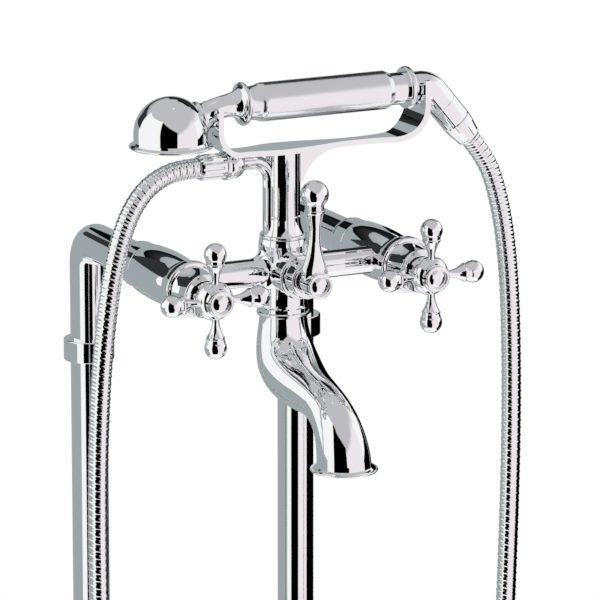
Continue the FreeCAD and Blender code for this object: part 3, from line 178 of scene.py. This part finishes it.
def ribbed_hose_tree():
    """Turns a line into a tube with spiral ribs."""
    tree = bpy.data.node_groups.new("ribbed hose", "GeometryNodeTree")
    tree.interface.new_socket(name="Line", in_out="INPUT", socket_type="NodeSocketGeometry")
    add_input(tree, "Radius", "NodeSocketFloat", HOSE_DIAMETER / 2)
    add_input(tree, "Rib Pitch", "NodeSocketFloat", RIB_PITCH)
    add_input(tree, "Rib Depth", "NodeSocketFloat", RIB_DEPTH)
    add_input(tree, "Rib Step", "NodeSocketFloat", RIB_STEP)
    add_input(tree, "Sides", "NodeSocketInt", SIDES)
    add_input(tree, "Material", "NodeSocketMaterial", None)
    tree.interface.new_socket(name="Hose", in_out="OUTPUT", socket_type="NodeSocketGeometry")
    nodes, links = tree.nodes, tree.links
    start = nodes.new("NodeGroupInput")
    end = nodes.new("NodeGroupOutput")

    resample = nodes.new("GeometryNodeResampleCurve")
    resample.mode = "LENGTH"
    links.new(start.outputs["Line"], resample.inputs["Curve"])
    links.new(maths(tree, "DIVIDE", start.outputs["Rib Pitch"], STEPS_PER_RIB), resample.inputs["Length"])

    along = nodes.new("GeometryNodeCaptureAttribute")
    along.capture_items.new("FLOAT", "Along")
    links.new(resample.outputs["Curve"], along.inputs["Geometry"])
    parameter = nodes.new("GeometryNodeSplineParameter")
    links.new(parameter.outputs["Length"], along.inputs["Along"])

    circle = nodes.new("GeometryNodeCurvePrimitiveCircle")
    links.new(start.outputs["Sides"], circle.inputs["Resolution"])
    links.new(start.outputs["Radius"], circle.inputs["Radius"])
    around = nodes.new("GeometryNodeCaptureAttribute")
    around.capture_items.new("FLOAT", "Around")
    links.new(circle.outputs["Curve"], around.inputs["Geometry"])
    turn = nodes.new("GeometryNodeSplineParameter")
    links.new(turn.outputs["Factor"], around.inputs["Around"])

    sweep = nodes.new("GeometryNodeCurveToMesh")
    links.new(along.outputs["Geometry"], sweep.inputs["Curve"])
    links.new(around.outputs["Geometry"], sweep.inputs["Profile Curve"])
    sweep.inputs["Fill Caps"].default_value = True

    ribs_so_far = maths(tree, "DIVIDE", along.outputs["Along"], start.outputs["Rib Pitch"])
    phase = maths(tree, "ADD", ribs_so_far, maths(tree, "MULTIPLY", around.outputs["Around"], SPIRALS))
    wave = maths(tree, "ABSOLUTE", maths(tree, "SINE", maths(tree, "MULTIPLY", phase, math.pi)))
    groove = maths(tree, "SUBTRACT", maths(tree, "POWER", wave, CROWN), 1.0)
    second = maths(tree, "PINGPONG", maths(tree, "FLOOR", phase), 1.0)
    sink = maths(tree, "MULTIPLY", groove, start.outputs["Rib Depth"])
    step = maths(tree, "MULTIPLY", second, start.outputs["Rib Step"])
    offset = maths(tree, "SUBTRACT", sink, step)

    normal = nodes.new("GeometryNodeInputNormal")
    push = nodes.new("ShaderNodeVectorMath")
    push.operation = "SCALE"
    links.new(normal.outputs["Normal"], push.inputs["Vector"])
    links.new(offset, push.inputs["Scale"])
    move = nodes.new("GeometryNodeSetPosition")
    links.new(sweep.outputs["Mesh"], move.inputs["Geometry"])
    links.new(push.outputs["Vector"], move.inputs["Offset"])
    smooth = nodes.new("GeometryNodeSetShadeSmooth")
    links.new(move.outputs["Geometry"], smooth.inputs["Geometry"])
    realize = nodes.new("GeometryNodeRealizeInstances")
    links.new(smooth.outputs["Geometry"], realize.inputs["Geometry"])
    paint = nodes.new("GeometryNodeSetMaterial")
    links.new(realize.outputs["Geometry"], paint.inputs["Geometry"])
    links.new(start.outputs["Material"], paint.inputs["Material"])
    links.new(paint.outputs["Geometry"], end.inputs["Hose"])
    return tree


def set_input(modifier, name, value):
    """Sets a modifier's named input by the identifier of its socket."""
    for item in modifier.node_group.interface.items_tree:
        if item.item_type == "SOCKET" and item.in_out == "INPUT" and item.name == name:
            modifier[item.identifier] = value
            return
    raise KeyError(name)


def plain_mesh(source, name):
    """The evaluated form of an object as a new mesh object, with the source removed."""
    bpy.context.view_layer.update()
    evaluated = source.evaluated_get(bpy.context.evaluated_depsgraph_get())
    mesh = bpy.data.meshes.new_from_object(evaluated)
    mesh.name = name
    made = bpy.data.objects.new(name, mesh)
    bpy.context.collection.objects.link(made)
    bpy.data.objects.remove(source)
    return made


# %% [markdown]
# ## Plated metal
# Bright chrome is a very thin layer of metal that is slightly blue beside silver. It is
# almost a perfect mirror. What tells it from a computer's mirror is small: the castings
# under it are polished by hand, so that large faces wander by a few hundredths of a
# millimetre, and fingers and water leave spots that are a little duller. One node group
# holds that wandering and those spots, and each finish gives it its own amounts.

# %% One group for hand polished surfaces
SPOT_FINENESS = 3.0           # spots are this much finer than the waves
SPOT_DETAIL = 4.0
SPOT_EDGE = (0.52, 0.75)      # where the noise begins to dull the metal, and where it is dullest
WAVE_DETAIL = 1.0
WAVE_HEIGHT = 1.0 * MM


def polish_group():
    """Noise for a surface that was polished by hand: a roughness and a bent normal."""
    tree = bpy.data.node_groups.new("hand polish", "ShaderNodeTree")
    add_input(tree, "Size", "NodeSocketFloat", 40.0)
    add_input(tree, "Least Roughness", "NodeSocketFloat", 0.02)
    add_input(tree, "Most Roughness", "NodeSocketFloat", 0.08)
    add_input(tree, "Waviness", "NodeSocketFloat", 0.02)
    tree.interface.new_socket(name="Roughness", in_out="OUTPUT", socket_type="NodeSocketFloat")
    tree.interface.new_socket(name="Normal", in_out="OUTPUT", socket_type="NodeSocketVector")
    nodes, links = tree.nodes, tree.links
    start = nodes.new("NodeGroupInput")
    end = nodes.new("NodeGroupOutput")
    place = nodes.new("ShaderNodeTexCoord")

    spots = nodes.new("ShaderNodeTexNoise")
    spots.inputs["Detail"].default_value = SPOT_DETAIL
    links.new(place.outputs["Object"], spots.inputs["Vector"])
    links.new(maths(tree, "MULTIPLY", start.outputs["Size"], SPOT_FINENESS), spots.inputs["Scale"])
    spread = nodes.new("ShaderNodeMapRange")
    spread.inputs["From Min"].default_value = SPOT_EDGE[0]
    spread.inputs["From Max"].default_value = SPOT_EDGE[1]
    links.new(spots.outputs["Fac"], spread.inputs["Value"])
    links.new(start.outputs["Least Roughness"], spread.inputs["To Min"])
    links.new(start.outputs["Most Roughness"], spread.inputs["To Max"])
    links.new(spread.outputs["Result"], end.inputs["Roughness"])

    wander = nodes.new("ShaderNodeTexNoise")
    wander.inputs["Detail"].default_value = WAVE_DETAIL
    links.new(place.outputs["Object"], wander.inputs["Vector"])
    links.new(start.outputs["Size"], wander.inputs["Scale"])
    bump = nodes.new("ShaderNodeBump")
    bump.inputs["Distance"].default_value = WAVE_HEIGHT
    links.new(start.outputs["Waviness"], bump.inputs["Strength"])
    links.new(wander.outputs["Fac"], bump.inputs["Height"])
    links.new(bump.outputs["Normal"], end.inputs["Normal"])
    return tree


POLISH = polish_group()
print("polish inputs", [item.name for item in POLISH.interface.items_tree if item.in_out == "INPUT"])

# %% [markdown]
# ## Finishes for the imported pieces
# The record names each piece's finish. Nearly everything outside is chrome, and the
# hand shower's turned grip is duller than the castings. The brass inside the valves, and
# the floor plates and screws of stainless steel, share the polish group with rougher
# amounts. Rubber, ceramic and plastic have one colour that varies a little from place to
# place, so a colour ramp over noise is enough for the seals, the discs and the aerator.

# %% Metals


def metal(name, colour, size, least, most, waviness):
    """A bare or plated metal with hand polished unevenness."""
    material = bpy.data.materials.new(name)
    material.use_nodes = True
    tree = material.node_tree
    shader = tree.nodes["Principled BSDF"]
    shader.inputs["Base Color"].default_value = (*colour, 1.0)
    shader.inputs["Metallic"].default_value = 1.0
    polish = tree.nodes.new("ShaderNodeGroup")
    polish.node_tree = POLISH
    polish.inputs["Size"].default_value = size
    polish.inputs["Least Roughness"].default_value = least
    polish.inputs["Most Roughness"].default_value = most
    polish.inputs["Waviness"].default_value = waviness
    tree.links.new(polish.outputs["Roughness"], shader.inputs["Roughness"])
    tree.links.new(polish.outputs["Normal"], shader.inputs["Normal"])
    return material


# %% Rubber, ceramic and plastic
DARKEST = 0.86                # the darkest places, as a share of the colour


def dull(name, colour, roughness, grain):
    """Rubber, ceramic or plastic: one colour that varies a little from place to place."""
    material = bpy.data.materials.new(name)
    material.use_nodes = True
    tree = material.node_tree
    shader = tree.nodes["Principled BSDF"]
    shader.inputs["Roughness"].default_value = roughness
    place = tree.nodes.new("ShaderNodeTexCoord")
    noise = tree.nodes.new("ShaderNodeTexNoise")
    noise.inputs["Scale"].default_value = grain
    tree.links.new(place.outputs["Object"], noise.inputs["Vector"])
    ramp = tree.nodes.new("ShaderNodeValToRGB")
    ramp.color_ramp.elements[0].color = (*[c * DARKEST for c in colour], 1.0)
    ramp.color_ramp.elements[1].color = (*colour, 1.0)
    tree.links.new(noise.outputs["Fac"], ramp.inputs["Fac"])
    tree.links.new(ramp.outputs["Color"], shader.inputs["Base Color"])
    return material


# %% The finishes
CHROME = (0.90, 0.91, 0.92)
FINISHES = {  # for metal size, least and most roughness and waviness, else roughness and grain
    "polished_chrome": metal("polished chrome", CHROME, 35.0, 0.02, 0.06, 0.05),
    "grip_chrome": metal("turned grip chrome", CHROME, 25.0, 0.18, 0.23, 0.04),
    "hose_chrome": metal("wound strip chrome", (0.88, 0.89, 0.90), 120.0, 0.05, 0.14, 0.04),
    "raw_brass": metal("machined brass", (0.80, 0.62, 0.33), 90.0, 0.22, 0.40, 0.10),
    "stainless_steel": metal("stainless steel", (0.62, 0.62, 0.63), 110.0, 0.25, 0.42, 0.10),
    "black_rubber": dull("black rubber", (0.03, 0.03, 0.03), 0.7, 300.0),
    "ceramic": dull("ground ceramic", (0.86, 0.85, 0.82), 0.4, 200.0),
    "white_plastic": dull("white plastic", (0.85, 0.85, 0.84), 0.45, 150.0)}
print("finishes", sorted(FINISHES))

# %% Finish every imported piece
slots = {part["node"]: part["material_slot"] for part in frame["record"]["subparts"]}
for node, piece in frame["nodes"].items():
    finish = FINISHES[slots[node]]
    if piece.material_slots:
        for place in piece.material_slots:
            place.material = finish
    else:
        piece.data.materials.append(finish)
print("finished", len(slots), "packed pieces")

# %% Wind the hose
winding = line.modifiers.new("ribs", "NODES")
winding.node_group = ribbed_hose_tree()
for name, value in (("Radius", HOSE_DIAMETER / 2), ("Rib Pitch", RIB_PITCH), ("Rib Depth", RIB_DEPTH),
                    ("Rib Step", RIB_STEP), ("Sides", SIDES), ("Material", FINISHES["hose_chrome"])):
    set_input(winding, name, value)
hose = plain_mesh(line, "wound_hose")
print("hose", len(hose.data.vertices), "vertices,", len(hose.data.polygons), "faces")

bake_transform(hose)
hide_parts("shower_hose")

# %% [markdown]
# ## A studio for polished metal
# A mirror is as good as the room round it. The photographer stands the tap in a white
# tent and hangs black and grey cards in it, and the metal draws itself with their edges.
# Tones painted on the metal would stay where they are when the view changes, so the tent
# is built instead. It has a round roof on upright walls that end just above the floor,
# because the long pipes mirror the walls nearly down to their feet. Each card is a patch
# of the tent, given by its left and right azimuth and by the elevation of its foot and
# its top, and an edge may slope. The cards light nothing and hide nothing: only
# reflections see them. The room itself is white.

# %% What a card glows with


def card_finish(name, low, high):
    """A glowing card whose tone runs from low at its foot to high at its top."""
    material = bpy.data.materials.new(name)
    material.use_nodes = True
    tree = material.node_tree
    tree.nodes.clear()
    where = tree.nodes.new("ShaderNodeUVMap")
    split = tree.nodes.new("ShaderNodeSeparateXYZ")
    tree.links.new(where.outputs["UV"], split.inputs["Vector"])
    blend = tree.nodes.new("ShaderNodeMix")
    blend.data_type = "RGBA"
    blend.inputs["A"].default_value = (*low, 1.0)
    blend.inputs["B"].default_value = (*high, 1.0)
    tree.links.new(split.outputs["Y"], blend.inputs["Factor"])
    glow = tree.nodes.new("ShaderNodeEmission")
    tree.links.new(blend.outputs["Result"], glow.inputs["Color"])
    out = tree.nodes.new("ShaderNodeOutputMaterial")
    tree.links.new(glow.outputs["Emission"], out.inputs["Surface"])
    return material


# %% The tent's shape
TENT_RADIUS = 0.70
FLOOR_GAP = 2.0 * MM
CARD_STEP = 5.0               # degrees between two rows of a card's points
print("tent walls", round(BODY_Z - FLOOR_GAP, 3), "m high")


def tent_point(azimuth, elevation):
    """A place on the tent: a round roof on upright walls that end just above the floor."""
    if elevation >= 0:
        return body_centre + from_centre(azimuth, elevation) * TENT_RADIUS
    place = body_centre + from_centre(azimuth, 0.0) * TENT_RADIUS
    place.z = max(place.z + math.tan(elevation) * TENT_RADIUS, FLOOR_GAP)
    return place


def ends(value):
    """A card's edge may be level, one number, or run from one elevation to another."""
    return value if isinstance(value, tuple) else (value, value)


def card(name, azimuths, foot, top, low, high):
    """A patch of the tent between two azimuths, from its foot to its top, in degrees."""
    az0, az1 = azimuths
    (foot0, foot1), (top0, top1) = ends(foot), ends(top)
    across = max(2, round((az1 - az0) / CARD_STEP) + 1)
    upward = max(2, round(max(top0 - foot0, top1 - foot1) / CARD_STEP) + 1)
    points = []
    marks = []
    for j in range(upward):
        for i in range(across):
            s, t = i / (across - 1), j / (upward - 1)
            here_foot = foot0 + (foot1 - foot0) * s
            here_top = top0 + (top1 - top0) * s
            points.append(tent_point(math.radians(az0 + (az1 - az0) * s),
                                     math.radians(here_foot + (here_top - here_foot) * t)))
            marks.append((s, t))
    faces = []
    for j in range(upward - 1):
        for i in range(across - 1):
            a = j * across + i
            faces.append((a, a + 1, a + across + 1, a + across))
    mesh = bpy.data.meshes.new(name)
    mesh.from_pydata(points, [], faces)
    layer = mesh.uv_layers.new(name="UVMap")
    for corner in mesh.loops:
        layer.data[corner.index].uv = marks[corner.vertex_index]
    mesh.materials.append(card_finish(name, low, high))
    made = bpy.data.objects.new(name, mesh)
    bpy.context.collection.objects.link(made)
    made.visible_camera = False
    made.visible_diffuse = False
    made.visible_shadow = False
    made.visible_transmission = False


# %% Cards that only reflections see
BLACK = (0.0, 0.0, 0.0)
SOOT = (0.03, 0.032, 0.034)
BACK_GREY = (0.36, 0.41, 0.42)
CEILING_GREY = (0.56, 0.55, 0.57)
PINK_WHITE = (0.93, 0.87, 0.90)
CREAM = (1.0, 1.0, 0.86)
CARDS = [  # name, azimuths, foot, top, tone at the foot, tone at the top
    ("front_flag", (-61, -5), -53, -6.5, BLACK, BLACK),
    ("front_flag_upper", (-61, -11), -6.5, (45, 20), BLACK, BLACK),
    ("ceiling_low", (-61, -11), (45, 20), 46, CEILING_GREY, CEILING_GREY),
    ("front_fill_upper", (-11, -5), -6.5, (14, 12), PINK_WHITE, PINK_WHITE),
    ("ceiling_edge", (-11, -5), (14, 12), 46, CEILING_GREY, CEILING_GREY),
    ("front_fill", (-5, 45), -53, (12, 33), PINK_WHITE, PINK_WHITE),
    ("front_fill_right", (45, 60), -53, 33, PINK_WHITE, PINK_WHITE),
    ("ceiling_blend", (-5, 45), (12, 33), (20, 46), PINK_WHITE, CEILING_GREY),
    ("ceiling_slope", (-5, 45), (20, 46), 46, CEILING_GREY, CEILING_GREY),
    ("ceiling_right", (45, 112), 33, 46, PINK_WHITE, CEILING_GREY),
    ("right_flag", (61, 145), -53, (-6, 20), BLACK, BLACK),
    ("back_flag", (112, 165), 23, 46, BLACK, SOOT),
    ("back_flag_low", (165, 198), 23, 33, BLACK, SOOT),
    ("ceiling_back", (165, 198), 33, 46, BACK_GREY, CEILING_GREY),
    ("left_flag", (198, 228), 12, 36, SOOT, SOOT),
    ("ceiling_back_left", (198, 228), 36, 46, BACK_GREY, CEILING_GREY),
    ("backdrop", (145, 224), -60, 12, BACK_GREY, BACK_GREY),
    ("backdrop_left", (224, 269), -60, -8, BACK_GREY, BACK_GREY),
    ("backdrop_slope", (145, 198), 12, 23, BACK_GREY, BACK_GREY),
    ("cream_left", (-70, -62), -50, 40, CREAM, CREAM),
    ("ceiling_ring", (-210, 118), 46, 54, CEILING_GREY, CEILING_GREY),
    ("top_flag", (118, 150), 46, 54, BLACK, BLACK),
    ("ceiling_top", (-180, 180), 54, 88, CEILING_GREY, CEILING_GREY)]
for row in CARDS:
    card(*row)
print("cards", len(CARDS))

# %% [markdown]
# ## Floor, room and light
# The object stands on a plain white floor. A white plane alone turns grey further off
# and draws a horizon. So beyond the object's shadow the floor glows plain white, for the
# camera and for reflections only, and near the feet it stays a surface that takes the
# shadow. One broad soft lamp is enough, because polished metal shows the white room.

# %% Floor
FLOOR_SIZE = 16.0
FLOOR_WHITE = (0.93, 0.93, 0.93)
FLOOR_ROUGHNESS = 0.9
FOOT_CLEAR = 0.7              # metres from the middle where the plain white begins
FOOT_FADE = 1.6               # and where it is complete


def floor_finish():
    """White floor that keeps the object's shadow near its feet and is plain white further off."""
    material = bpy.data.materials.new("studio floor")
    material.use_nodes = True
    tree = material.node_tree
    shader = tree.nodes["Principled BSDF"]
    shader.inputs["Base Color"].default_value = (*FLOOR_WHITE, 1.0)
    shader.inputs["Roughness"].default_value = FLOOR_ROUGHNESS
    place = tree.nodes.new("ShaderNodeTexCoord")
    length = tree.nodes.new("ShaderNodeVectorMath")
    length.operation = "LENGTH"
    tree.links.new(place.outputs["Object"], length.inputs[0])
    far = tree.nodes.new("ShaderNodeMapRange")
    far.interpolation_type = "SMOOTHSTEP"
    far.inputs["From Min"].default_value = FOOT_CLEAR
    far.inputs["From Max"].default_value = FOOT_FADE
    tree.links.new(length.outputs["Value"], far.inputs["Value"])
    path = tree.nodes.new("ShaderNodeLightPath")
    seen = maths(tree, "MAXIMUM", path.outputs["Is Camera Ray"], path.outputs["Is Glossy Ray"])
    seen = maths(tree, "MAXIMUM", seen, path.outputs["Is Transmission Ray"])
    glow = tree.nodes.new("ShaderNodeEmission")
    mix = tree.nodes.new("ShaderNodeMixShader")
    tree.links.new(maths(tree, "MULTIPLY", far.outputs["Result"], seen), mix.inputs["Fac"])
    tree.links.new(shader.outputs["BSDF"], mix.inputs[1])
    tree.links.new(glow.outputs["Emission"], mix.inputs[2])
    tree.links.new(mix.outputs["Shader"], tree.nodes["Material Output"].inputs["Surface"])
    return material


def studio_floor():
    """A square floor under the object."""
    half = FLOOR_SIZE / 2
    corners = [(-half, -half, 0), (half, -half, 0), (half, half, 0), (-half, half, 0)]
    mesh = bpy.data.meshes.new("studio_floor")
    mesh.from_pydata(corners, [], [(0, 1, 2, 3)])
    mesh.materials.append(floor_finish())
    made = bpy.data.objects.new("studio_floor", mesh)
    bpy.context.collection.objects.link(made)


studio_floor()
print("floor", FLOOR_SIZE, "m wide")

# %% Room and lamp
LAMP_SIZE = 1.6
LAMP_ENERGY = 12.0
LAMP_AZIMUTH = math.radians(40)
LAMP_ELEVATION = math.radians(50)
LAMP_DISTANCE = 2.2

world = bpy.data.worlds.new("white room")
bpy.context.scene.world = world
world.use_nodes = True
room = world.node_tree.nodes["Background"]
room.inputs["Color"].default_value = (1.0, 1.0, 1.0, 1.0)
room.inputs["Strength"].default_value = 1.0

lamp_data = bpy.data.lights.new("soft_lamp", "AREA")
lamp_data.size = LAMP_SIZE
lamp_data.energy = LAMP_ENERGY
lamp = bpy.data.objects.new("soft_lamp", lamp_data)
lamp.location = body_centre + from_centre(LAMP_AZIMUTH, LAMP_ELEVATION) * LAMP_DISTANCE
lamp.rotation_mode = "QUATERNION"
lamp.rotation_quaternion = (body_centre - lamp.location).to_track_quat("-Z", "Y")
lamp.visible_glossy = False
bpy.context.collection.objects.link(lamp)

bpy.context.scene.view_settings.view_transform = "Standard"
print("lamp at", [round(x, 3) for x in lamp.location])
